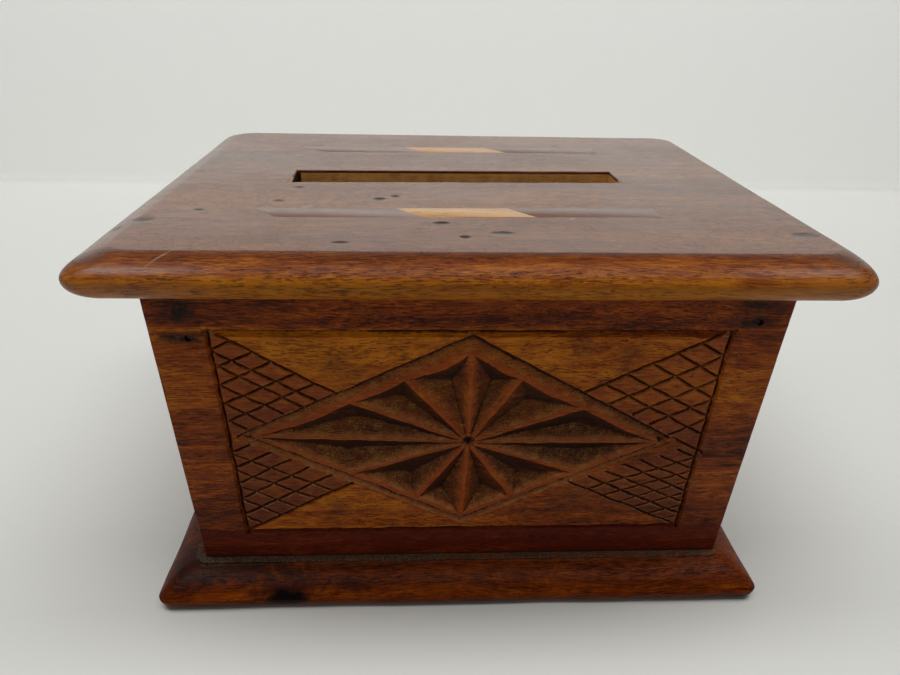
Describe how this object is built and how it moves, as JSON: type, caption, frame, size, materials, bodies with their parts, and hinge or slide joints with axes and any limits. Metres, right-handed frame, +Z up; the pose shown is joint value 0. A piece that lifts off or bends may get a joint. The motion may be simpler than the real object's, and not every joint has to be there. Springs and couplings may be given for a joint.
{
  "type": "wooden money box",
  "caption": "Splayed rectangular wooden money box with a moulded lid and plinth, a coin slot, inlaid strips, a chip-carved front and a sliding base panel.",
  "frame": {"origin": "centre of the underside of the plinth, on the surface that the box stands on", "axes": "+Z up, front with the carving towards -Y, +X to the right when looking at the front"},
  "size_m": [0.15, 0.125, 0.088],
  "materials": {
    "lid_wood": "worn satin shellac",
    "carved_wood": "worn satin shellac",
    "body_wood": "worn satin shellac",
    "plinth_wood": "worn satin shellac",
    "slide_wood": "bare, rubbed",
    "block_wood": "bare softwood",
    "light_inlay": "satin",
    "dark_inlay": "satin",
    "pin_iron": "rusted",
    "screw_steel": "dull"
  },
  "bodies": {
    "box": {"lid_board": "lid_wood", "inlay_front_left": "dark_inlay", "inlay_front_centre": "light_inlay", "inlay_front_right": "dark_inlay", "inlay_back_left": "dark_inlay", "inlay_back_centre": "light_inlay", "inlay_back_right": "dark_inlay", "front_panel": "carved_wood", "back_panel": "body_wood", "left_panel": "body_wood", "right_panel": "body_wood", "corner_block_front_left": "block_wood", "corner_block_front_right": "block_wood", "corner_block_back_left": "block_wood", "corner_block_back_right": "block_wood", "lid_block_front": "block_wood", "lid_block_back": "block_wood", "lid_block_left": "block_wood", "lid_block_right": "block_wood", "plinth_board": "plinth_wood", "panel_pins": "pin_iron", "plinth_screws": "screw_steel"},
    "slide": {"money_slide": "slide_wood"}
  },
  "joints": [
    {"name": "slide_out", "type": "slide", "parent": "box", "child": "slide", "axis": [0, 1, 0], "range_m": [0, 0.1]}
  ]
}
